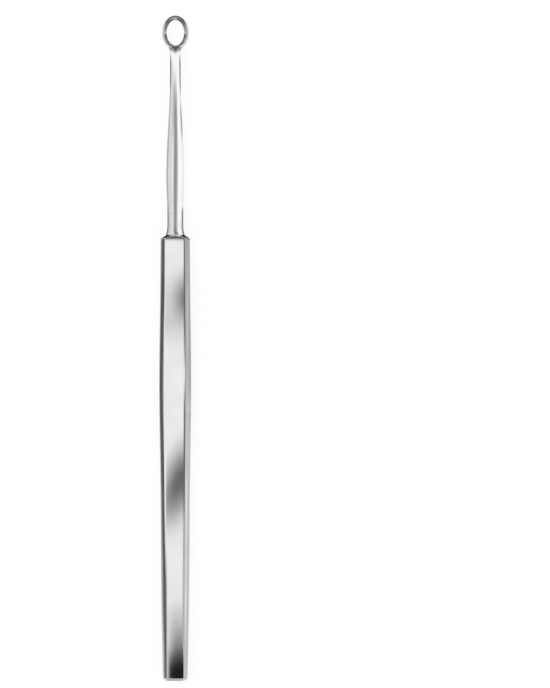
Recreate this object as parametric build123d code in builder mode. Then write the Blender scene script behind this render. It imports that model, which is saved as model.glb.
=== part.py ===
"""Dermal ring curette, forged, turned and ground from one bar of stainless steel.

It lies on the rear facet of its handle, with the ring towards +Y and the cutting edge towards +Z.
The origin is under the middle of its length, on the surface that it lies on. Lengths are in millimetres.
"""

from build123d import *
import math
import os

# Handle, an eight-sided bar that swells a third of the way down and narrows to the tail
handle_length = 97.05
handle_thickness = 5.0
shoulder_width = 6.42
upper_width = 6.58
belly_width = 7.0
middle_width = 6.44
lower_width = 6.06
tail_width = 5.4
upper_from_shoulder = 12.0
belly_from_shoulder = 32.0
middle_from_shoulder = 56.0
lower_from_tail = 17.0

# Plan width of the four bevels beside the front and rear facets
shoulder_bevel = 1.05
upper_bevel = 1.1
belly_bevel = 1.25
middle_bevel = 1.1
lower_bevel = 1.05
tail_bevel = 0.83

# Ends and edges of the handle
shoulder_slope_deg = 31.0
shoulder_cove_radius = 0.5
tail_chamfer_length = 0.55
tail_chamfer_depth = 0.35
long_edge_radius = 0.2

# Turned shaft, each place measured from the one before it
flare_radius = 2.08
waist_radius = 1.7
waist_from_shoulder = 3.9
swell_radius = 1.92
swell_from_waist = 6.7
taper_radius = 1.62
taper_from_swell = 12.0
neck_radius = 1.13
neck_from_taper = 12.4
neck_length = 4.7

# Ring
ring_width = 5.75
ring_length = 7.5
ring_wall = 0.97
ring_depth = 1.7
outer_bevel_width = 0.47
outer_bevel_height = 0.9
inner_bevel_height = 1.2
back_radius = 0.4
throat_radius = 0.2

# Neck, turned out to the root under the ring and then ground flat in front and behind
spread_length = 3.2
root_inside_ring = 1.3
root_cover = 0.29
root_front = 0.45
root_back = 0.75
flat_clearance = 0.4
front_run_out = 3.2
back_run_out = 2.4

# Places worked out from the sizes above, with the origin under the middle of the whole length
shaft_length = waist_from_shoulder + swell_from_waist + taper_from_swell + neck_from_taper + neck_length
head_length = spread_length + root_inside_ring + ring_length / 2
overall_length = handle_length + shaft_length + head_length
axis_height = handle_thickness / 2
tail_y = -overall_length / 2
shoulder_y = tail_y + handle_length
waist_y = shoulder_y + waist_from_shoulder
swell_y = waist_y + swell_from_waist
taper_y = swell_y + taper_from_swell
neck_y = taper_y + neck_from_taper
spread_y = neck_y + neck_length
root_y = spread_y + spread_length
ring_centre_y = root_y + root_inside_ring
flat_end_y = ring_centre_y - ring_length / 2 - flat_clearance
root_half_width = ring_width / 2 * math.sqrt(1 - (2 * root_inside_ring / ring_length) ** 2) - root_cover
turning_axis = Axis((0, 0, axis_height), (0, 1, 0))


def cross_plane(y):
    """Plane across the instrument at a distance along it, centred on its axis, with X right and Y up."""
    return Plane(origin=(0, y, axis_height), x_dir=(1, 0, 0), z_dir=(0, -1, 0))


def bar_outline(width, bevel):
    """Corners of the eight-sided section, with the bevels run on past the front and rear facets."""
    overrun = 0.5
    side = (width / 2, handle_thickness / 2 - bevel)
    top = (width / 2 - bevel - overrun, handle_thickness / 2 + overrun)
    quarter = [side, top]
    upper = quarter + [(-x, y) for x, y in reversed(quarter)]
    return upper + [(-x, -y) for x, y in upper]


# Distance from the shoulder, width and bevel of each section of the handle
handle_sections = [
    (0.0, shoulder_width, shoulder_bevel),
    (upper_from_shoulder, upper_width, upper_bevel),
    (belly_from_shoulder, belly_width, belly_bevel),
    (middle_from_shoulder, middle_width, middle_bevel),
    (handle_length - lower_from_tail, lower_width, lower_bevel),
    (handle_length, tail_width, tail_bevel),
]

with BuildPart() as curette:
    # Bar: one loft along the handle, then its two facets ground flat and parallel
    for distance, width, bevel in handle_sections:
        with BuildSketch(cross_plane(shoulder_y - distance)):
            Polygon(*bar_outline(width, bevel), align=None)
    loft()
    with BuildSketch(Plane.XY):
        with Locations((0, shoulder_y - handle_length / 2)):
            Rectangle(2 * belly_width, handle_length)
    extrude(amount=handle_thickness, mode=Mode.INTERSECT)

    # Tail chamfered all round
    tail_face = curette.faces().sort_by(Axis.Y)[0]
    chamfer(tail_face.edges(), length=tail_chamfer_depth, length2=tail_chamfer_length, reference=tail_face)

    # Long edges taken off with a stone
    long_edges = curette.edges().filter_by(lambda edge: edge.length > handle_length / 2)
    fillet(long_edges, radius=long_edge_radius)

    # Shoulder turned to a low cone
    corner_radius = math.hypot(belly_width, handle_thickness) / 2
    cone_drop = (corner_radius - flare_radius) * math.tan(math.radians(shoulder_slope_deg))
    with BuildSketch(Plane.XY.offset(axis_height)):
        with BuildLine():
            Polyline(
                (0, shoulder_y),
                (flare_radius, shoulder_y),
                (corner_radius, shoulder_y - cone_drop),
                (corner_radius, tail_y),
                (0, tail_y),
                close=True,
            )
        make_face()
    revolve(axis=turning_axis, mode=Mode.INTERSECT)

    # Shaft and neck turned from flare to root
    with BuildSketch(Plane.XY.offset(axis_height)):
        with BuildLine():
            root = (root_half_width, root_y)
            spread = (neck_radius, spread_y)
            neck = (neck_radius, neck_y)
            taper = (taper_radius, taper_y)
            swell = (swell_radius, swell_y)
            waist = (waist_radius, waist_y)
            flare = (flare_radius, shoulder_y)
            Line((0, root_y), root)
            Spline(root, spread, tangents=[(0, -1), (0, -1)])
            Line(spread, neck)
            Spline(neck, taper, swell, waist, tangents=[(0, -1), (0, -1)])
            Spline(waist, flare, tangents=[(0, -1), (1, -2)])
            Polyline(flare, (0, shoulder_y), (0, root_y))
        make_face()
    revolve(axis=turning_axis)

    # Concave corner between shaft and shoulder
    shoulder_edges = curette.edges().filter_by(GeomType.CIRCLE).filter_by(
        lambda edge: abs(edge.center().Y - shoulder_y) < 0.01 and abs(edge.radius - flare_radius) < 0.01
    )
    fillet(shoulder_edges, radius=shoulder_cove_radius)

    # Neck ground flat in front and behind, each flat running out along the shaft
    for side, flat_height, run_out in ((1, root_front, front_run_out), (-1, root_back, back_run_out)):
        run_out_y = flat_end_y - run_out
        with BuildSketch(Plane.YZ):
            with BuildLine():
                run_out_end = (run_out_y, axis_height + side * neck_radius)
                flat_end = (flat_end_y, axis_height + side * flat_height)
                clear_height = axis_height + side * root_half_width
                Spline(run_out_end, flat_end, tangents=[(1, 0), (1, 0)])
                Polyline(
                    flat_end,
                    (root_y, axis_height + side * flat_height),
                    (root_y, clear_height),
                    (run_out_y, clear_height),
                    run_out_end,
                )
            make_face()
        extrude(amount=root_half_width, both=True, mode=Mode.SUBTRACT)

    # Root opened out to the middle of the ring's wall
    with BuildSketch(Plane.XY) as ring_middle:
        with Locations((0, ring_centre_y)):
            Ellipse((ring_width - ring_wall) / 2, (ring_length - ring_wall) / 2)
    extrude(amount=handle_thickness, mode=Mode.SUBTRACT)

    # Ring: its bevelled section carried round the oval outline
    with BuildSketch(Plane.XY.offset(axis_height), mode=Mode.PRIVATE) as ring_outline:
        with Locations((0, ring_centre_y)):
            Ellipse(ring_width / 2, ring_length / 2)
    outline = ring_outline.sketch.wires()[0]
    start = outline @ 0
    outward = (start - Vector(0, ring_centre_y, axis_height)).normalized()
    section_plane = Plane(origin=start, x_dir=outward, z_dir=outward.cross(Vector(0, 0, 1)))
    front = ring_depth / 2
    outer_shoulder = (0, front - outer_bevel_height)
    cutting_edge = (-outer_bevel_width, front)
    inner_shoulder = (-ring_wall, front - inner_bevel_height)
    throat_start = (-ring_wall, throat_radius - front)
    throat_end = (throat_radius - ring_wall, -front)
    back_start = (-back_radius, -front)
    back_end = (0, back_radius - front)
    with BuildSketch(section_plane):
        with BuildLine():
            Polyline(outer_shoulder, cutting_edge, inner_shoulder, throat_start)
            RadiusArc(throat_start, throat_end, -throat_radius)
            Line(throat_end, back_start)
            RadiusArc(back_start, back_end, -back_radius)
            Line(back_end, outer_shoulder)
        make_face()
    sweep(path=outline)

curette.part.label = "curette"
os.makedirs("parts", exist_ok=True)
export_step(curette.part, "parts/curette.step")
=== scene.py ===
"""Studio scene of a dermal ring curette in satin and polished stainless steel.

The instrument lies on a white table with its ring towards +Y, and a long lens looks straight down on it.
Sizes are held in millimetres and turned into metres where an object is made.
"""

import logging
import math
from collections.abc import Callable
from dataclasses import dataclass, field
from enum import Enum
from functools import cache

import bmesh
import bpy
import numpy as np
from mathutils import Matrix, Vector

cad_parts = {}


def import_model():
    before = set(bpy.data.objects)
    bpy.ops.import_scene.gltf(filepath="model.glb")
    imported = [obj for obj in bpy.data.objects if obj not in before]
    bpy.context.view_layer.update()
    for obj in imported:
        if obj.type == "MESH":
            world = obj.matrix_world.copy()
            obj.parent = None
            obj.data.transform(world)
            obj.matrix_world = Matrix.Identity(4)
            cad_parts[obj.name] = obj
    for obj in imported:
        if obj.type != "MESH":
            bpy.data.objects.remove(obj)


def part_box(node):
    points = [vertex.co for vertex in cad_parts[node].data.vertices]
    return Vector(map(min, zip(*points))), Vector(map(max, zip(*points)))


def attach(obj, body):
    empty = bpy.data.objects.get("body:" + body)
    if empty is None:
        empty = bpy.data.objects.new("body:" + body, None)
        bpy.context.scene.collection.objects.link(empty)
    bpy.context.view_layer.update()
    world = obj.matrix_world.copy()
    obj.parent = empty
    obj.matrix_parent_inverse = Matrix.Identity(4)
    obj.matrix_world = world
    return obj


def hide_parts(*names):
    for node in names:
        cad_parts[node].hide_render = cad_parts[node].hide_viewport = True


MM = 0.001
NODE = "curette"
BODY = "root"

Pair = tuple[float, float]
Place = tuple[float, float, float]
Feather = tuple[float, float, float, float]
Rows = list[np.ndarray]

# A card that fades out over a tenth of its size at each edge
SOFT: Feather = (0.1, 0.1, 0.1, 0.1)
ARC_POINTS = 97

log = logging.getLogger("curette")


def grey(level: float) -> tuple[float, float, float, float]:
    """Gives a grey as an opaque colour."""
    return (level, level, level, 1.0)


def put_in_scene(name: str, data: bpy.types.ID) -> bpy.types.Object:
    """Makes an object and links it to the scene.

    Args:
        name: The object's name.
        data: Its mesh, camera or lamp.

    Returns:
        The new object.
    """
    made = bpy.data.objects.new(name, data)
    bpy.context.scene.collection.objects.link(made)
    return made


@dataclass
class Graph:
    """A node tree under construction, with a short way to add and link its nodes."""

    tree: bpy.types.NodeTree

    @classmethod
    def of(cls, owner: bpy.types.Material | bpy.types.World) -> "Graph":
        """Empties the node tree of a material or a world.

        Args:
            owner: The material or the world.

        Returns:
            Its tree, ready for new nodes.
        """
        owner.use_nodes = True
        owner.node_tree.nodes.clear()
        return cls(owner.node_tree)

    def add(self, kind: str, inputs: dict | None = None, **settings: object) -> bpy.types.Node:
        """Adds one node.

        Args:
            kind: The node's type name.
            inputs: A value or a socket to link, for each input by its name or number.
            settings: Properties of the node itself.

        Returns:
            The new node.
        """
        node = self.tree.nodes.new(kind)
        for name, value in settings.items():
            setattr(node, name, value)
        for name, value in (inputs or {}).items():
            if isinstance(value, bpy.types.NodeSocket):
                self.tree.links.new(value, node.inputs[name])
            else:
                node.inputs[name].default_value = value
        return node

    def maths(self, operation: str, *values: object) -> bpy.types.NodeSocket:
        """Adds a maths node.

        Args:
            operation: The operation's name.
            values: Numbers or sockets, in order.

        Returns:
            The node's output socket.
        """
        return self.add("ShaderNodeMath", dict(enumerate(values)), operation=operation).outputs[0]

    def ease(self, value: bpy.types.NodeSocket, start: float, end: float) -> bpy.types.NodeSocket:
        """Adds a node that eases from 0 to 1.

        Args:
            value: The socket to ease.
            start: The value that gives 0.
            end: The value that gives 1.

        Returns:
            The node's output socket.
        """
        inputs = {"Value": value, "From Min": start, "From Max": end}
        return self.add("ShaderNodeMapRange", inputs, interpolation_type="SMOOTHSTEP").outputs["Result"]


@dataclass(frozen=True)
class SteelFinish:
    """Bare stainless steel, worked to one finish.

    Grain runs along the instrument. Lengths are in millimetres.
    """

    name: str
    pale: float = 0.80
    deep: float = 0.75
    roughness_low: float = 0.11
    roughness_high: float = 0.17
    grain_width: float = 0.09
    grain_length: float = 4.0
    grain_depth: float = 0.0012
    cloud_size: float = 6.0
    cloud_share: float = 0.7
    contrast_span: Pair = (0.35, 0.65)

    @cache
    def material(self) -> bpy.types.Material:
        """Builds the finish's material once.

        Returns:
            A metallic material with lengthwise grain and faint clouds of colour and gloss.
        """
        material = bpy.data.materials.new(self.name)
        graph = Graph.of(material)
        place = graph.add("ShaderNodeTexCoord").outputs["Object"]
        clouds = graph.add(
            "ShaderNodeTexNoise",
            {"Vector": place, "Scale": 1 / (self.cloud_size * MM), "Detail": 3.0, "Roughness": 0.55},
        ).outputs["Fac"]
        along = self.grain_width / self.grain_length
        stretched = graph.add("ShaderNodeMapping", {"Vector": place, "Scale": (1.0, along, 1.0)})
        grain = graph.add(
            "ShaderNodeTexNoise",
            {
                "Vector": stretched.outputs["Vector"],
                "Scale": 1 / (self.grain_width * MM),
                "Detail": 4.0,
                "Roughness": 0.6,
            },
        ).outputs["Fac"]
        cloud_part = graph.maths("MULTIPLY", clouds, self.cloud_share)
        grain_part = graph.maths("MULTIPLY", grain, 1 - self.cloud_share)
        contrast = graph.ease(graph.maths("ADD", cloud_part, grain_part), *self.contrast_span)
        # The sockets of a mix node share their names, so its colours go by number
        colour = graph.add(
            "ShaderNodeMix", {0: contrast, 6: grey(self.deep), 7: grey(self.pale)}, data_type="RGBA"
        )
        roughness = graph.add(
            "ShaderNodeMapRange",
            {"Value": contrast, "To Min": self.roughness_high, "To Max": self.roughness_low},
        )
        bump = graph.add(
            "ShaderNodeBump", {"Height": grain, "Strength": 1.0, "Distance": self.grain_depth * MM}
        )
        shader = graph.add(
            "ShaderNodeBsdfPrincipled",
            {
                "Base Color": colour.outputs[2],
                "Metallic": 1.0,
                "Roughness": roughness.outputs["Result"],
                "Normal": bump.outputs["Normal"],
            },
        )
        graph.add("ShaderNodeOutputMaterial", {"Surface": shader.outputs["BSDF"]})
        return material


class Finish(Enum):
    """The steel's finishes, by where they are worked."""

    HANDLE = SteelFinish("satin_steel")
    SHAFT = SteelFinish(
        "polished_steel",
        pale=0.88,
        deep=0.84,
        roughness_low=0.08,
        roughness_high=0.14,
        grain_width=0.06,
        grain_length=1.2,
        grain_depth=0.0006,
    )
    RING = SteelFinish(
        "ground_steel",
        pale=0.84,
        deep=0.79,
        roughness_low=0.10,
        roughness_high=0.17,
        grain_width=0.05,
        grain_length=0.5,
        grain_depth=0.0008,
    )


def spline_through(
    places: tuple[float, ...], values: tuple[float, ...], slopes: Pair | None = None
) -> Callable[[float], float]:
    """Makes the smooth curve through given values.

    Args:
        places: Where the values lie, in rising order.
        values: The curve's value at each place.
        slopes: The slope at each end, or None for ends without curvature.

    Returns:
        A function that gives the curve's value at any place between the ends.
    """
    x = np.array(places, float)
    y = np.array(values, float)
    step = np.diff(x)
    rise = np.diff(y) / step
    count = len(x)
    matrix = np.zeros((count, count))
    right = np.zeros(count)
    for i in range(1, count - 1):
        matrix[i, i - 1 : i + 2] = (step[i], 2 * (step[i - 1] + step[i]), step[i - 1])
        right[i] = 3 * (step[i] * rise[i - 1] + step[i - 1] * rise[i])
    if slopes is None:
        matrix[0, :2] = (2, 1)
        matrix[-1, -2:] = (1, 2)
        right[0] = 3 * rise[0]
        right[-1] = 3 * rise[-1]
    else:
        matrix[0, 0] = matrix[-1, -1] = 1
        right[0], right[-1] = slopes
    slope = np.linalg.solve(matrix, right)

    def curve(place: float) -> float:
        """Gives the curve's value.

        Args:
            place: Where on the curve.

        Returns:
            The value there.
        """
        i = np.clip(np.searchsorted(x, place) - 1, 0, count - 2)
        t = (place - x[i]) / step[i]
        start = y[i] * (1 + 2 * t) * (1 - t) ** 2 + slope[i] * step[i] * t * (1 - t) ** 2
        end = y[i + 1] * t**2 * (3 - 2 * t) + slope[i + 1] * step[i] * t**2 * (t - 1)
        return float(start + end)

    return curve


def smooth_step(share: float) -> float:
    """Eases a share from 0 to 1, level at both ends."""
    held = min(max(share, 0.0), 1.0)
    return held * held * (3 - 2 * held)


def broken_corner(before: Pair, corner: Pair, after: Pair, size: float) -> list[Pair]:
    """Breaks a corner with a small flat, and keeps the sides beside it straight.

    Args:
        before: The corner before it.
        corner: The corner.
        after: The corner after it.
        size: How far from the corner the flat meets each side.

    Returns:
        Two points on the side before the corner and two on the side after it.
    """
    place = Vector(corner)
    back = (Vector(before) - place).normalized() * size
    forth = (Vector(after) - place).normalized() * size
    return [tuple(place + offset) for offset in (2 * back, back, forth, 2 * forth)]


def arc_points(centre: Pair, radius: float, start: float, end: float, count: int) -> list[Pair]:
    """Lays points on an arc.

    Args:
        centre: The arc's centre.
        radius: Its radius.
        start: The first point's angle in degrees.
        end: The last point's angle in degrees.
        count: How many points.

    Returns:
        The points in order.
    """
    angles = np.radians(np.linspace(start, end, count))
    return [(centre[0] + radius * math.cos(a), centre[1] + radius * math.sin(a)) for a in angles]


@dataclass
class Handle:
    """The eight-sided handle, from its chamfered tail to the edge of the shoulder."""

    length: float = 97.05
    thickness: float = 5.0
    distances: tuple[float, ...] = (0.0, 12.0, 32.0, 56.0, 80.05, 97.05)
    widths: tuple[float, ...] = (6.42, 6.58, 7.0, 6.44, 6.06, 5.4)
    bevels: tuple[float, ...] = (1.05, 1.1, 1.25, 1.1, 1.05, 0.83)
    edge_radius: float = 0.28
    edge_points: int = 5
    side_points: int = 8
    bevel_points: int = 4
    facet_points: int = 14
    tail_chamfer_length: float = 0.55
    tail_chamfer_depth: float = 0.35
    tail_edge: float = 0.08
    tail_arris: float = 0.008
    row_step: float = 1.5

    def section(self, width: float, bevel: float, inset: float = 0.0) -> np.ndarray:
        """Lays out one cross-section with rounded edges.

        Args:
            width: The section's width.
            bevel: The plan width of its bevels.
            inset: How far the whole outline is drawn in.

        Returns:
            Points across the instrument, as x and height above the axis, anticlockwise.
        """
        half_width = width / 2 - inset
        half_height = self.thickness / 2 - inset
        cut = bevel - inset * (2 - math.sqrt(2))
        low, high = half_height - cut, half_width - cut
        half = np.array([(half_width, -low), (half_width, low), (high, half_height), (-high, half_height)])
        corners = np.concatenate([half, -half])
        between = (self.side_points, self.bevel_points, self.facet_points, self.bevel_points) * 2
        turn = 360 / len(corners)
        reach = self.edge_radius / math.cos(math.radians(turn / 2))
        arcs = []
        for i, (x, height) in enumerate(corners):
            outward = math.radians((i - 0.5) * turn)
            centre = (x - reach * math.cos(outward), height - reach * math.sin(outward))
            arc = arc_points(centre, self.edge_radius, (i - 1) * turn, i * turn, self.edge_points)
            arcs.append(np.array(arc))
        points = []
        for arc, following, count in zip(arcs, arcs[1:] + arcs[:1], between):
            points.extend(arc)
            shares = np.linspace(0, 1, count + 2)[1:-1, None]
            points.extend(arc[-1] + shares * (following[0] - arc[-1]))
        return np.array(points)

    def rows(self, shoulder_y: float, margin: float) -> Rows:
        """Lays out the handle from its tail up to a little below the shoulder.

        Args:
            shoulder_y: Where the handle ends.
            margin: How far below that the last row lies.

        Returns:
            Rows of points as x, y and height above the axis.
        """
        width = spline_through(self.distances, self.widths)
        bevel = spline_through(self.distances, self.bevels)
        run, depth = self.tail_chamfer_length, self.tail_chamfer_depth
        count = round((self.length - run - margin) / self.row_step)
        stops = [
            (self.length, depth + self.tail_edge),
            (self.length, depth),
            (self.length - self.tail_edge, depth * (1 - self.tail_edge / run)),
            (self.length - run + self.tail_edge / 2, depth * self.tail_edge / run / 2),
            (self.length - run, self.tail_arris),
        ]
        stops += [(d, 0.0) for d in np.linspace(self.length - run - self.tail_edge, margin, count)]
        rows = []
        for distance, inset in stops:
            flat = self.section(width(distance), bevel(distance), inset)
            y = np.full(len(flat), shoulder_y - distance)
            rows.append(np.stack([flat[:, 0], y, flat[:, 1]], axis=1))
        return rows


@dataclass
class Shaft:
    """The turned shoulder and shaft, and the neck ground flat towards the ring."""

    shoulder_slope: float = 31.0
    shoulder_edge: float = 0.14
    shoulder_edge_share: float = 0.35
    side_shares: Pair = (0.35, 0.7)
    cone_shares: Pair = (0.33, 0.66)
    round_points: int = 5
    cove_reach: float = 0.13
    flare_radius: float = 2.08
    flare_sharpness: float = 5.0
    distances: tuple[float, ...] = (3.9, 10.6, 22.6, 35.0)
    radii: tuple[float, ...] = (1.7, 1.92, 1.62, 1.13)
    neck_length: float = 4.7
    spread_length: float = 3.2
    root_front: float = 0.45
    root_back: float = 0.75
    flat_clearance: float = 0.4
    front_run_out: float = 3.2
    back_run_out: float = 2.4
    flat_corner: float = 18.0
    row_step: float = 0.5

    @property
    def flare_slope(self) -> float:
        """How fast the flare's radius falls away from the shoulder."""
        return self.flare_sharpness * (self.radii[0] - self.flare_radius) / self.distances[0]

    @property
    def root_distance(self) -> float:
        """Distance of the neck's root from the shoulder."""
        return self.distances[-1] + self.neck_length + self.spread_length

    def radius(self, distance: float, root_radius: float) -> float:
        """Gives the turned radius.

        Args:
            distance: Distance from the shoulder.
            root_radius: The radius at the root, under the ring.

        Returns:
            The radius there, before the flats are ground.
        """
        waist, neck = self.distances[0], self.distances[-1]
        if distance <= waist:
            share = (1 - distance / waist) ** self.flare_sharpness
            return self.radii[0] + (self.flare_radius - self.radii[0]) * share
        if distance <= neck:
            return spline_through(self.distances, self.radii, (0.0, 0.0))(distance)
        share = (distance - neck - self.neck_length) / self.spread_length
        return self.radii[-1] + (root_radius - self.radii[-1]) * smooth_step(share)

    def flat(self, distance: float, flat_end: float, run_out: float, depth: float) -> float:
        """Gives the height of a ground flat over the axis.

        Args:
            distance: Distance from the shoulder.
            flat_end: Where the run-out has reached the flat's full depth.
            run_out: The run-out's length.
            depth: The flat's final height over the axis.

        Returns:
            Its height there, which is beyond the shaft until the run-out starts.
        """
        share = (distance - flat_end + run_out) / run_out
        if share < 0:
            return math.inf
        return self.radii[-1] + (depth - self.radii[-1]) * smooth_step(share)

    def shoulder_rows(self, edge: np.ndarray, shoulder_y: float, margin: float) -> Rows:
        """Turns the end of the handle to a cone, on each line along it.

        Args:
            edge: The handle's last section, as x and height.
            shoulder_y: Where the cone meets the shaft.
            margin: How far below that the handle's own rows end.

        Returns:
            Rows from the handle's side over the turned edge to the shaft's cove.
        """
        reach = np.linalg.norm(edge, axis=1)
        out = edge / reach[:, None]
        slope = math.radians(self.shoulder_slope)
        up = np.array([-math.cos(slope), math.sin(slope)])
        corner = np.stack([reach, shoulder_y - (reach - self.flare_radius) * math.tan(slope)], axis=1)
        run = (reach - self.flare_radius) / math.cos(slope)
        round_off = np.minimum(self.shoulder_edge, self.shoulder_edge_share * run)[:, None]
        before = corner - round_off * np.array([0.0, 1.0])
        after = corner + round_off * up
        foot = np.array([self.flare_radius, shoulder_y])
        cove_start = foot - self.cove_reach * up
        lean = np.array([self.flare_slope, 1.0]) / math.hypot(self.flare_slope, 1.0)
        cove_end = foot + self.cove_reach * lean
        base_y = shoulder_y - margin
        profile = []
        for share in self.side_shares:
            level = base_y + share * (before[:, 1] - base_y)
            profile.append(np.stack([reach, level], axis=1))
        for t in np.linspace(0, 1, self.round_points):
            profile.append((1 - t) ** 2 * before + 2 * t * (1 - t) * corner + t * t * after)
        for share in self.cone_shares:
            profile.append(after + share * (cove_start - after))
        for t in np.linspace(0, 1, self.round_points):
            point = (1 - t) ** 2 * cove_start + 2 * t * (1 - t) * foot + t * t * cove_end
            profile.append(np.tile(point, (len(edge), 1)))
        return [np.stack([out[:, 0] * p[:, 0], p[:, 1], out[:, 1] * p[:, 0]], axis=1) for p in profile]

    def shaft_rows(self, edge: np.ndarray, shoulder_y: float, root_radius: float, flat_end: float) -> Rows:
        """Turns the shaft and grinds the neck.

        Args:
            edge: The handle's last section, which sets where the lines along the shaft start.
            shoulder_y: Where the shaft starts.
            root_radius: The radius at the root.
            flat_end: Distance from the shoulder at which both flats are at full depth.

        Returns:
            Rows from the cove to the root.
        """
        start = np.unwrap(np.arctan2(edge[:, 0], edge[:, 1]))
        count = len(edge)
        turn = 2 * math.pi * np.sign(start[-1] - start[0])
        even = start.mean() + turn * (np.arange(count) - (count - 1) / 2) / count
        first = self.cove_reach
        steps = round((self.root_distance - first) / self.row_step)
        rows = []
        for distance in np.linspace(first, self.root_distance, steps + 1)[1:]:
            radius = self.radius(distance, root_radius)
            angle = start + (even - start) * smooth_step(distance / self.distances[1])
            front = self.flat(distance, flat_end, self.front_run_out, self.root_front)
            back = self.flat(distance, flat_end, self.back_run_out, self.root_back)
            angle = self.steer(angle, radius, front, back)
            x = radius * np.sin(angle)
            height = np.clip(radius * np.cos(angle), -back, front)
            rows.append(np.stack([x, np.full(count, shoulder_y + distance), height], axis=1))
        return rows

    def steer(self, angle: np.ndarray, radius: float, front: float, back: float) -> np.ndarray:
        """Moves the lines along the neck so that four of them follow the corners of its flats.

        Args:
            angle: Angle of each line from the front.
            radius: The neck's radius.
            front: Height of the front flat over the axis.
            back: Depth of the rear flat under it.

        Returns:
            The steered angles.
        """
        corner = math.radians(self.flat_corner)
        front_corner = max(corner, math.acos(min(1.0, front / radius)))
        back_corner = max(corner, math.acos(min(1.0, back / radius)))
        wrapped = (angle + math.pi) % (2 * math.pi) - math.pi
        known = (0.0, corner, math.pi - corner, math.pi)
        steered = (0.0, front_corner, math.pi - back_corner, math.pi)
        return np.sign(wrapped) * np.interp(np.abs(wrapped), known, steered)


@dataclass
class Ring:
    """The open oval ring, its bevelled section carried round the outline."""

    width: float = 5.75
    length: float = 7.5
    wall: float = 0.97
    depth: float = 1.7
    outer_bevel_width: float = 0.47
    outer_bevel_height: float = 0.9
    inner_bevel_height: float = 1.2
    back_radius: float = 0.4
    throat_radius: float = 0.2
    cutting_edge: float = 0.012
    arris: float = 0.05
    throat_points: int = 7
    back_points: int = 9
    root_inside: float = 1.3
    root_cover: float = 0.29
    segments: int = 160

    @property
    def root_radius(self) -> float:
        """Half the width of the neck where it runs in under the ring."""
        share = math.sqrt(1 - (2 * self.root_inside / self.length) ** 2)
        return self.width / 2 * share - self.root_cover

    def section(self) -> list[Pair]:
        """Lays out the ring's section.

        Returns:
            Points as distance outside the outline and height above the axis, in order round it.
        """
        front = self.depth / 2
        inner = -self.wall
        outer_low = (0.0, front - self.outer_bevel_height)
        edge = (-self.outer_bevel_width, front)
        inner_low = (inner, front - self.inner_bevel_height)
        throat = (inner + self.throat_radius, self.throat_radius - front)
        back = (-self.back_radius, self.back_radius - front)
        points = broken_corner((0.0, -front), outer_low, edge, self.arris)
        points += broken_corner(outer_low, edge, inner_low, self.cutting_edge)
        points += broken_corner(edge, inner_low, (inner, -front), self.arris)
        points += arc_points(throat, self.throat_radius, 180.0, 270.0, self.throat_points)
        points += arc_points(back, self.back_radius, 270.0, 360.0, self.back_points)
        return points


@dataclass
class Sweep:
    """A Geometry Nodes tree that carries a closed section round an oval. Lengths are in millimetres."""

    name: str
    section: list[Pair]
    width: float
    length: float
    centre: Place
    segments: int
    material: bpy.types.Material
    sockets: dict[str, str] = field(default_factory=dict)

    def tree(self) -> bpy.types.NodeTree:
        """Builds the tree with named inputs for the oval's sizes.

        Returns:
            The finished tree.
        """
        tree = bpy.data.node_groups.new(self.name, "GeometryNodeTree")
        for label, kind in (
            ("Width", "NodeSocketFloat"),
            ("Length", "NodeSocketFloat"),
            ("Centre", "NodeSocketVector"),
            ("Segments", "NodeSocketInt"),
        ):
            item = tree.interface.new_socket(name=label, in_out="INPUT", socket_type=kind)
            self.sockets[label] = item.identifier
        tree.interface.new_socket(name="Geometry", in_out="OUTPUT", socket_type="NodeSocketGeometry")
        graph = Graph(tree)
        given = graph.add("NodeGroupInput").outputs
        unit_circle = {"Resolution": given["Segments"], "Radius": 0.5}
        circle = graph.add("GeometryNodeCurvePrimitiveCircle", unit_circle)
        scale = graph.add("ShaderNodeCombineXYZ", {"X": given["Width"], "Y": given["Length"], "Z": 1.0})
        oval = graph.add(
            "GeometryNodeTransform",
            {"Geometry": circle.outputs["Curve"], "Translation": given["Centre"], "Scale": scale.outputs[0]},
        )
        level = graph.add("GeometryNodeSetCurveNormal", {"Curve": oval.outputs[0]}, mode="Z_UP")
        corner = graph.add("GeometryNodeIndexSwitch", data_type="VECTOR")
        while len(corner.index_switch_items) < len(self.section):
            corner.index_switch_items.new()
        number = graph.add("GeometryNodeInputIndex")
        tree.links.new(number.outputs[0], corner.inputs["Index"])
        # The profile's second axis points down round the oval
        for i, (out, up) in enumerate(self.section):
            corner.inputs[i + 1].default_value = (out * MM, -up * MM, 0.0)
        places = {"Count": len(self.section), "Position": corner.outputs[0]}
        points = graph.add("GeometryNodePoints", places)
        line = graph.add("GeometryNodePointsToCurves", {"Points": points.outputs[0]})
        profile = graph.add("GeometryNodeSetSplineCyclic", {"Geometry": line.outputs[0], "Cyclic": True})
        curves = {"Curve": level.outputs[0], "Profile Curve": profile.outputs[0]}
        swept = graph.add("GeometryNodeCurveToMesh", curves)
        real = graph.add("GeometryNodeRealizeInstances", {"Geometry": swept.outputs[0]})
        finish = {"Geometry": real.outputs[0], "Material": self.material}
        dressed = graph.add("GeometryNodeSetMaterial", finish)
        graph.add("NodeGroupOutput", {"Geometry": dressed.outputs[0]})
        return tree

    def mesh(self) -> bpy.types.Mesh:
        """Runs the tree once.

        Returns:
            The swept section as a plain mesh.
        """
        carrier = put_in_scene(self.name, bpy.data.meshes.new(self.name))
        modifier = carrier.modifiers.new(self.name, "NODES")
        modifier.node_group = self.tree()
        modifier[self.sockets["Width"]] = self.width * MM
        modifier[self.sockets["Length"]] = self.length * MM
        modifier[self.sockets["Centre"]] = [c * MM for c in self.centre]
        modifier[self.sockets["Segments"]] = self.segments
        graph = bpy.context.evaluated_depsgraph_get()
        mesh = bpy.data.meshes.new_from_object(carrier.evaluated_get(graph))
        bpy.data.objects.remove(carrier)
        return mesh


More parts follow.
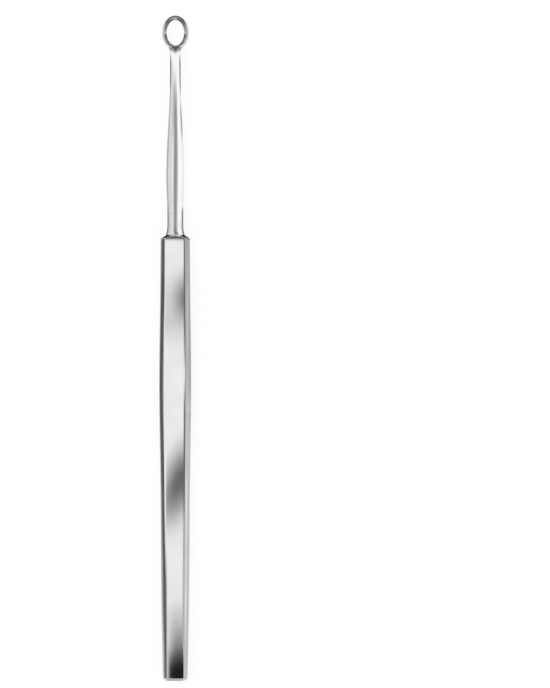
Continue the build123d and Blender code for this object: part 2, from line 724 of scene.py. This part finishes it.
class Operation(Enum):
    """How one solid changes another."""

    CUT = "DIFFERENCE"
    JOIN = "UNION"


@dataclass
class Curette:
    """The whole instrument, fitted between the lowest and highest corners of its solid."""

    lowest: Vector
    highest: Vector
    handle: Handle = field(default_factory=Handle)
    shaft: Shaft = field(default_factory=Shaft)
    ring: Ring = field(default_factory=Ring)
    shoulder_margin: float = 1.6
    shaft_finish_reach: float = 0.02
    plug_depth: float = 20.0
    merge: float = 0.0005
    crease: float = 28.0

    @property
    def axis_height(self) -> float:
        """Height of the instrument's axis over the table."""
        return self.handle.thickness / 2

    @property
    def shoulder_y(self) -> float:
        """Where the handle ends and the shaft starts."""
        return self.lowest.y / MM + self.handle.length

    @property
    def ring_centre_y(self) -> float:
        """Where the middle of the ring lies."""
        return self.highest.y / MM - self.ring.length / 2

    @property
    def ring_low(self) -> float:
        """Where the ring starts."""
        return self.ring_centre_y - self.ring.length / 2

    def stem(self) -> bpy.types.Object:
        """Makes the handle, shaft and neck as one closed skin.

        Returns:
            The stem's object.
        """
        margin = self.shoulder_margin
        rows = self.handle.rows(self.shoulder_y, margin)
        edge = rows[-1][:, [0, 2]]
        rows += self.shaft.shoulder_rows(edge, self.shoulder_y, margin)
        flat_end = self.ring_low - self.shaft.flat_clearance - self.shoulder_y
        rows += self.shaft.shaft_rows(edge, self.shoulder_y, self.ring.root_radius, flat_end)
        points = np.concatenate(rows) + np.array([0.0, 0.0, self.axis_height])
        count = len(edge)
        faces = []
        for i in range(len(rows) - 1):
            low, high = i * count, (i + 1) * count
            for j in range(count):
                after = (j + 1) % count
                faces.append((low + j, low + after, high + after, high + j))
        faces.append(tuple(range(count))[::-1])
        faces.append(tuple(range((len(rows) - 1) * count, len(rows) * count)))
        mesh = bpy.data.meshes.new("stem")
        mesh.from_pydata((points * MM).tolist(), [], faces)
        return self.closed(mesh, "stem")

    def closed(self, mesh: bpy.types.Mesh, name: str) -> bpy.types.Object:
        """Merges a mesh's doubles, turns its faces outwards and links it.

        Args:
            mesh: The mesh.
            name: The object's name.

        Returns:
            The new object.
        """
        work = bmesh.new()
        work.from_mesh(mesh)
        bmesh.ops.remove_doubles(work, verts=work.verts, dist=self.merge * MM)
        bmesh.ops.dissolve_degenerate(work, edges=work.edges, dist=self.merge * MM)
        bmesh.ops.recalc_face_normals(work, faces=work.faces)
        work.to_mesh(mesh)
        work.free()
        return put_in_scene(name, mesh)

    def opening(self) -> bpy.types.Object:
        """Makes the oval plug that opens the neck's root to the middle of the ring's wall.

        Returns:
            The plug's object, to be cut away.
        """
        half_width = (self.ring.width - self.ring.wall) / 2 * MM
        half_length = (self.ring.length - self.ring.wall) / 2 * MM
        work = bmesh.new()
        depth = self.plug_depth * MM
        bmesh.ops.create_cone(
            work, cap_ends=True, segments=self.ring.segments, radius1=1.0, radius2=1.0, depth=depth
        )
        bmesh.ops.scale(work, vec=(half_width, half_length, 1.0), verts=work.verts)
        bmesh.ops.translate(work, vec=(0.0, self.ring_centre_y * MM, 0.0), verts=work.verts)
        mesh = bpy.data.meshes.new("opening")
        work.to_mesh(mesh)
        work.free()
        return self.closed(mesh, "opening")

    def hoop(self) -> bpy.types.Object:
        """Makes the ring.

        Returns:
            The ring's object.
        """
        ring = self.ring
        centre = (0.0, self.ring_centre_y, self.axis_height)
        finish = Finish.RING.value.material()
        sweep = Sweep("ring_sweep", ring.section(), ring.width, ring.length, centre, ring.segments, finish)
        return self.closed(sweep.mesh(), "hoop")

    def combine(self, target: bpy.types.Object, tool: bpy.types.Object, operation: Operation) -> None:
        """Cuts a tool out of the target or joins it on, and removes the tool.

        Args:
            target: The object that is changed.
            tool: The object that cuts or joins.
            operation: Whether it cuts or joins.
        """
        modifier = target.modifiers.new(operation.name, "BOOLEAN")
        modifier.operation = operation.value
        modifier.solver = "EXACT"
        modifier.object = tool
        graph = bpy.context.evaluated_depsgraph_get()
        mesh = bpy.data.meshes.new_from_object(target.evaluated_get(graph))
        target.modifiers.clear()
        target.data = mesh
        bpy.data.objects.remove(tool)

    def build(self) -> bpy.types.Object:
        """Makes the instrument as one closed skin in its finishes.

        Returns:
            The finished object.
        """
        whole = self.stem()
        self.combine(whole, self.opening(), Operation.CUT)
        self.combine(whole, self.hoop(), Operation.JOIN)
        mesh = whole.data
        bpy.data.objects.remove(whole)
        made = self.closed(mesh, "curette_steel")
        self.dress(made)
        return made

    def dress(self, made: bpy.types.Object) -> None:
        """Gives each region its finish and marks the sharp edges.

        Args:
            made: The instrument's object.
        """
        mesh = made.data
        mesh.materials.clear()
        for finish in Finish:
            mesh.materials.append(finish.value.material())
        # The finishes follow one another along the instrument, in the order of their list
        starts = ((self.shoulder_y - self.shaft_finish_reach) * MM, self.ring_low * MM)
        for face in mesh.polygons:
            face.material_index = sum(face.center.y >= start for start in starts)
            face.use_smooth = True
        mesh.set_sharp_from_angle(angle=math.radians(self.crease))
        mesh.update()


# Each card is a painted reflection: its glow, dark or pale, shows only in the steel, as painted shade or
# painted highlight.
@dataclass(frozen=True)
class Card:
    """A soft-edged card that stands, hangs or lies by the instrument, seen by the steel alone.

    It is a strip between two rails. Feathers are shares of its size over which it fades out, at the
    rails' far and near ends and then at the far and near rail. Lengths are in millimetres.
    """

    name: str
    near: tuple[Place, ...]
    far: tuple[Place, ...]
    tone: float
    feather: Feather

    @classmethod
    def panel(
        cls, name: str, middle: Place, arm: Place, other: Place, tone: float, feather: Feather
    ) -> "Card":
        """Makes a flat card with four corners.

        Args:
            name: Its name.
            middle: Its middle.
            arm: From its middle to the middle of one edge, along the rails.
            other: From its middle to the middle of the far rail.
            tone: Its brightness.
            feather: Its feathers.

        Returns:
            The card.
        """
        centre, a, b = (Vector(v) for v in (middle, arm, other))
        near = (tuple(centre - a - b), tuple(centre + a - b))
        far = (tuple(centre - a + b), tuple(centre + a + b))
        return cls(name, near, far, tone, feather)

    @classmethod
    def mat(cls, name: str, middle: Place, half: Pair, tone: float, feather: Feather = SOFT) -> "Card":
        """Makes a level card from half its width and half its length."""
        return cls.panel(name, middle, (half[0], 0, 0), (0, half[1], 0), tone, feather)

    @classmethod
    def wall(cls, name: str, middle: Place, half: Pair, tone: float, feather: Feather) -> "Card":
        """Makes a card that stands along the instrument from half its length and half its height."""
        return cls.panel(name, middle, (0, half[0], 0), (0, 0, half[1]), tone, feather)

    @classmethod
    def strip(cls, name: str, x: float, stations: tuple[Place, ...], tone: float, feather: Feather) -> "Card":
        """Makes a card that stands along the instrument.

        Args:
            name: Its name.
            x: How far to the side it stands.
            stations: Place along the instrument, lower and upper edge, from one end to the other.
            tone: Its brightness.
            feather: Its feathers.

        Returns:
            The card.
        """
        near = tuple((x, y, low) for y, low, high in stations)
        far = tuple((x, y, high) for y, low, high in stations)
        return cls(name, near, far, tone, feather)

    @classmethod
    def arc(
        cls, name: str, y: float, ovals: tuple[Place, Place], angles: Pair, tone: float, feather: Feather
    ) -> "Card":
        """Makes a card that runs between two ovals round the ring.

        Args:
            name: Its name.
            y: Where the ovals' centre lies along the instrument.
            ovals: Each oval's half sizes, across and along, and its height.
            angles: The first and last angle in degrees from +X towards +Y.
            tone: Its brightness.
            feather: Its feathers.

        Returns:
            The card.
        """
        turns = np.radians(np.linspace(*angles, ARC_POINTS))
        near, far = (
            tuple((across * math.cos(t), y + along * math.sin(t), height) for t in turns)
            for across, along, height in ovals
        )
        return cls(name, near, far, tone, feather)

    def build(self) -> None:
        """Makes the card's object and hides it from camera, diffuse, shadow and transmission rays."""
        count = len(self.near)
        corners = [Vector(place) * MM for place in self.near + self.far]
        faces = [(i, i + 1, count + i + 1, count + i) for i in range(count - 1)]
        mesh = bpy.data.meshes.new(self.name)
        mesh.from_pydata(corners, [], faces)
        layer = mesh.uv_layers.new(name="card")
        for loop in mesh.loops:
            rail, place = divmod(loop.vertex_index, count)
            layer.data[loop.index].uv = (place / (count - 1), rail)
        mesh.materials.append(self.material())
        made = put_in_scene(self.name, mesh)
        made.visible_camera = False
        made.visible_diffuse = False
        made.visible_shadow = False
        made.visible_transmission = False

    def material(self) -> bpy.types.Material:
        """Builds a glow that fades out towards the card's edges; it paints shade or highlight into the
        steel's reflections.

        Returns:
            The card's material.
        """
        material = bpy.data.materials.new(self.name)
        graph = Graph.of(material)
        uv = graph.add("ShaderNodeUVMap", uv_map="card").outputs["UV"]
        split = graph.add("ShaderNodeSeparateXYZ", {"Vector": uv})
        far_a, near_a, far_b, near_b = self.feather
        mask = 1.0
        for axis, edge, feather in (("X", 1, far_a), ("X", 0, near_a), ("Y", 1, far_b), ("Y", 0, near_b)):
            if feather:
                inner = abs(edge - feather)
                mask = graph.maths("MULTIPLY", mask, graph.ease(split.outputs[axis], edge, inner))
        clear = graph.add("ShaderNodeBsdfTransparent")
        glow = graph.add("ShaderNodeEmission", {"Color": grey(1.0), "Strength": self.tone})
        mixed = graph.add(
            "ShaderNodeMixShader", {0: mask, 1: clear.outputs["BSDF"], 2: glow.outputs["Emission"]}
        )
        graph.add("ShaderNodeOutputMaterial", {"Surface": mixed.outputs["Shader"]})
        return material


@dataclass
class Studio:
    """White table, soft light, cards and the camera over it all. Lengths are in millimetres."""

    ring_middle: float
    facet_height: float
    image_width: int = 550
    image_height: int = 688
    drawn_length: float = 665.5
    true_length: float = 145.0
    axis_column: float = 175.2
    middle_row: float = 347.75
    lens: float = 200.0
    sensor: float = 36.0
    focus_height: float = 3.5
    clip_ratio: float = 100.0
    table_size: float = 4000.0
    table_drop: float = 0.01
    table_paint: float = 0.92
    table_glow: float = 0.85
    world_level: float = 1.06
    lamp_size: float = 700.0
    lamp_place: Place = (-250.0, 200.0, 900.0)
    lamp_power: float = 1.6

    @property
    def pixels_per_mm(self) -> float:
        """The drawing's scale."""
        return self.drawn_length / self.true_length

    def camera_place(self) -> Place:
        """Works out where the camera is, from the drawing's scale and the instrument's place in it.

        Returns:
            Its place.
        """
        across = (self.image_width / 2 - self.axis_column) / self.pixels_per_mm
        up = (self.middle_row - self.image_height / 2) / self.pixels_per_mm
        height = self.image_height / self.pixels_per_mm * self.lens / self.sensor
        return (across, up, height + self.focus_height)

    def camera(self) -> None:
        """Places the camera straight over the table, framed as the drawing is."""
        data = bpy.data.cameras.new("camera")
        data.lens = self.lens
        data.sensor_width = self.sensor
        place = Vector(self.camera_place()) * MM
        data.clip_start = place.z / self.clip_ratio
        data.clip_end = place.z * self.clip_ratio
        made = put_in_scene("camera", data)
        made.location = place
        bpy.context.scene.camera = made

    def table(self) -> None:
        """Makes the white table that the instrument lies on."""
        half = self.table_size / 2 * MM
        top = -self.table_drop * MM
        mesh = bpy.data.meshes.new("table")
        corners = [(-half, -half, top), (half, -half, top), (half, half, top), (-half, half, top)]
        mesh.from_pydata(corners, [], [(0, 1, 2, 3)])
        material = bpy.data.materials.new("white_table")
        graph = Graph.of(material)
        path = graph.add("ShaderNodeLightPath").outputs
        seen = graph.maths("ADD", path["Is Camera Ray"], path["Is Glossy Ray"])
        share = graph.maths("MULTIPLY", seen, self.table_glow)
        paint = graph.add("ShaderNodeBsdfDiffuse", {"Color": grey(self.table_paint)})
        glow = graph.add("ShaderNodeEmission", {"Color": grey(1.0), "Strength": 1.0})
        mixed = graph.add(
            "ShaderNodeMixShader", {0: share, 1: paint.outputs["BSDF"], 2: glow.outputs["Emission"]}
        )
        graph.add("ShaderNodeOutputMaterial", {"Surface": mixed.outputs["Shader"]})
        mesh.materials.append(material)
        put_in_scene("table", mesh)

    def light(self) -> None:
        """Sets an even pale world and one broad lamp overhead."""
        world = bpy.data.worlds.new("studio")
        graph = Graph.of(world)
        back = graph.add("ShaderNodeBackground", {"Color": grey(1.0), "Strength": self.world_level})
        graph.add("ShaderNodeOutputWorld", {"Surface": back.outputs["Background"]})
        bpy.context.scene.world = world
        data = bpy.data.lights.new("softbox", "AREA")
        data.size = self.lamp_size * MM
        data.energy = self.lamp_power
        lamp = put_in_scene("softbox", data)
        lamp.location = Vector(self.lamp_place) * MM
        lamp.rotation_euler = (-lamp.location).to_track_quat("-Z", "Y").to_euler()
        lamp.visible_glossy = False

    def above(self, x: float, y: float, rise: float) -> Place:
        """Finds where something over the front facet hangs that the camera sees mirrored at a place on it.

        Args:
            x: The place across the facet.
            y: The place along it.
            rise: How far over the facet it hangs.

        Returns:
            Its place.
        """
        eye = self.camera_place()
        share = rise / (eye[2] - self.facet_height)
        return (x - (eye[0] - x) * share, y - (eye[1] - y) * share, self.facet_height + rise)

    def over(self, name: str, place: Place, arm: Pair, other: Pair, tone: float, feather: Feather) -> Card:
        """Hangs a level card over the front facet.

        Args:
            name: The card's name.
            place: Where its middle is mirrored on the facet, across and along, and its height over it.
            arm: Its first arm, across and along.
            other: Its other arm.
            tone: Its brightness.
            feather: Its feathers.

        Returns:
            The card.
        """
        return Card.panel(name, self.above(*place), (*arm, 0.0), (*other, 0.0), tone, feather)

    def bevel_cards(self) -> list[Card]:
        """Lists the cards that shade the handle's bevels and their edges.

        Returns:
            The cards.
        """
        blade = (
            (25, 4.0, 5.08),
            (10, 3.8, 5.08),
            (-9, 3.48, 4.74),
            (-18, 3.66, 4.84),
            (-26, 3.85, 4.95),
            (-37, 3.96, 5.05),
            (-46, 4.08, 5.15),
            (-57, 4.15, 5.2),
            (-66, 4.28, 5.3),
            (-76, 4.24, 5.3),
        )
        upper_line = ((24.4, 4.42, 4.76), (-10, 4.46, 4.8), (-30, 4.56, 4.9))
        lower_line = ((-24, 4.54, 4.9), (-45, 4.6, 4.96), (-66, 4.64, 4.98))
        return [
            Card.strip("left_blade", -6.0, blade, 0.095, (0, 0, 0.2, 0.2)),
            Card.strip("left_high", -6.1, ((2, 4.85, 7.5), (24.4, 4.85, 7.5)), 0.5, (0, 0.5, 0.2, 0)),
            Card.strip("left_high_low", -6.1, ((-76, 4.85, 9), (-36, 4.85, 9)), 0.22, (0.4, 0, 0.2, 0)),
            Card.wall("left_wall", (-12, -24, 2), (56, 2.1), 0.62, (0.03, 0.2, 0.05, 0)),
            Card.strip("right_line", 5.9, upper_line, 0.78, (0.1, 0.2, 0.35, 0.35)),
            Card.strip("right_line_low", 5.9, lower_line, 1.15, (0.2, 0.2, 0.35, 0.35)),
            Card.wall("right_wall", (11, 3, 14.5), (26, 14.5), 0.5, (0.1, 0.3, 0.1, 0)),
            Card.wall("right_low_wall", (12, -48, 14.5), (34, 14.5), 0.66, (0, 0, 0.1, 0)),
            self.over("edge_upper", (3.8, 8, 2.5), (0, 17.5), (2.1, 0), 0.16, (0.02, 0.42, 0.1, 0.14)),
            self.over("edge_middle", (3.72, -27, 2.5), (0.12, 23), (2.1, 0), 0.14, (0.22, 0.45, 0.1, 0.14)),
            self.over("edge_lower", (3.65, -51, 2.6), (0.08, 15), (2.1, 0), 0.52, (0.3, 0.1, 0.1, 0.1)),
            self.over("left_edge_low", (-3.4, -58, 2), (0, 17), (1.75, 0), 0.3, (0.35, 0, 0.14, 0)),
        ]

    def facet_cards(self) -> list[Card]:
        """Lists the cards that shade the front facet and the tail.

        Returns:
            The cards.
        """
        return [
            self.over("shoulder_line", (0, 24.74, 1.0), (0, 1.66), (2.6, 0), 0.1, (0.31, 0.3, 0.05, 0.05)),
            Card.wall("right_cap", (5.7, 24.3, 4.4), (0.9, 0.9), 0.1, (0.1, 0.5, 0.1, 0.1)),
            self.over("upper_tone", (0, 8, 12), (0, 10), (5, 0), 0.8, (0.4, 0.4, 0, 0)),
            self.over("upper_shade", (2, 11, 11), (0.6, 8), (3.9, 0), 0.2, (0.5, 0.5, 0.1, 0.6)),
            self.over("belly_shade", (0.8, -30.2, 14), (4.8, 14), (5.6, -2.2), 0.16, (0.42, 0.5, 0.5, 0.45)),
            self.over("tail_shade", (0.5, -63, 9), (0, 12), (3.4, 0), 0.1, (0.8, 0, 0.1, 0.5)),
            self.over("tail_patch", (1.6, -69.5, 4), (0, 5.5), (3.4, 0), 0.015, (0.6, 0, 0.05, 0.118)),
            Card.panel("tail_wall", (0, -112, 22), (30, 0, 0), (0, 0, 12), 0.55, (0.1, 0.1, 0.2, 0.2)),
        ]

    def shaft_cards(self) -> list[Card]:
        """Lists the cards that shade the shoulder, shaft and neck.

        Returns:
            The cards.
        """
        return [
            Card.panel("core", (4, 44.5, 22), (19.5, 0, 0), (2.5, 19.5, 0), 0.3, (0.56, 0.42, 0.25, 0.02)),
            Card.mat("core_left", (-13, 54, 23), (12, 8), 0.6, (0.1, 0.1, 0.2, 0.5)),
            Card.wall("shaft_left_wall", (-24, 46, 18), (20, 17), 0.78, (0.1, 0, 0.2, 0.05)),
            Card.wall("shaft_right_wall", (16, 46, 16), (20, 15), 1.1, (0.1, 0, 0.2, 0.05)),
            Card.mat("left_mat", (-10, 46, 0.3), (8.5, 20), 0.5, (0.05, 0.05, 0.05, 0)),
            Card.mat("right_mat", (10, 46, 0.3), (8.5, 20), 0.95, (0.05, 0.05, 0.05, 0)),
            Card.mat("right_dark", (9, 50, 0.4), (7.5, 5), 0.45, (0.05, 0.05, 0.3, 0.4)),
            Card.mat("right_low_dark", (9, 27.8, 0.4), (7.5, 3.6), 0.6, (0.05, 0.05, 0.4, 0)),
            Card.mat("shoulder_mat", (0, 28.2, 0.5), (5.4, 3.2), 0.04, (0.08, 0.08, 0.3, 0)),
            Card.mat("shoulder_lid", (1, 25.4, 4.95), (1.5, 0.35), 0.2, (0.1, 0.5, 0.5, 0)),
            Card.panel("shoulder_card", (0, 29.2, 5.25), (5, 0, 0), (0, 0, 0.65), 0.03, (0.1, 0.1, 0.2, 0.1)),
        ]

    def ring_cards(self) -> list[Card]:
        """Lists the cards that shade the ring and the neck's root.

        Returns:
            The cards.
        """
        middle = self.ring_middle
        upper = middle + 1.65
        edge = ((5.7, 6.6, 0.4), (13.0, 13.9, 0.4))
        ends = ((5.0, 5.65, 0.5), (12.0, 12.65, 0.5))
        return [
            Card.mat("ring_mat", (0, middle, 0.2), (14, 11), 0.72),
            Card.arc("ring_edge", middle, edge, (0, 360), 0.48, (0, 0, 0.05, 0.14)),
            Card.arc("ring_top", middle, ends, (15, 165), 0.12, (0.2, 0.2, 0.1, 0.11)),
            Card.arc("ring_low", middle, ends, (200, 335), 0.1, (0.12, 0.12, 0.1, 0.2)),
            Card.mat("inner_mat", (0, middle, 0.4), (2.8, 3.7), 0.62),
            Card.mat("inner_top", (0, middle + 1.55, 0.5), (2.8, 1.45), 0.4, (0.1, 0.1, 0.1, 0.17)),
            Card.mat("inner_left", (-1.6, upper, 0.6), (1.4, 1.4), 0.13, (0.08, 0.1, 0.1, 0.1)),
            Card.mat("inner_right", (1.6, upper, 0.6), (1.4, 1.4), 0.13, (0.1, 0.08, 0.1, 0.1)),
            Card.mat("inner_low", (0, middle - 1.48, 0.5), (2.8, 1.48), 0.2),
            Card.mat("inner_spot", (0, middle - 0.1, 0.65), (0.45, 0.24), 0.08),
            Card.mat("root_shade", (0, middle - 3.77, 3.7), (0.75, 0.88), 0.05, (0.6, 0.6, 0.1, 0.57)),
            Card.mat("root_tone", (0, middle - 3.6, 3.8), (1.7, 0.7), 0.36, (0.1, 0.1, 0.05, 0.5)),
            Card.panel("root_wall", (0, 61, 5.5), (4, 0, 0), (0, 0.05, 0.7), 0.06, SOFT),
        ]

    def build(self) -> None:
        """Sets the whole studio."""
        self.camera()
        log.info("camera: over the table, %g mm lens", self.lens)
        self.table()
        self.light()
        # These cards paint the shades and highlights seen in the steel's reflections.
        for card in self.bevel_cards() + self.facet_cards() + self.shaft_cards() + self.ring_cards():
            card.build()
            log.info("card: %s", card.name)
        bpy.context.scene.view_settings.view_transform = "Standard"


def main() -> None:
    """Loads the frame, builds the instrument round it and sets the studio."""
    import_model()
    bpy.context.view_layer.update()
    curette = Curette(*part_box(NODE))
    made = curette.build()
    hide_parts(NODE)
    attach(made, BODY)
    log.info("curette_steel: %d faces", len(made.data.polygons))
    Studio(curette.ring_centre_y, curette.handle.thickness).build()
    bpy.context.view_layer.update()


if __name__ == "__main__":
    logging.basicConfig(level=logging.INFO, format="%(name)s: %(message)s")
    main()
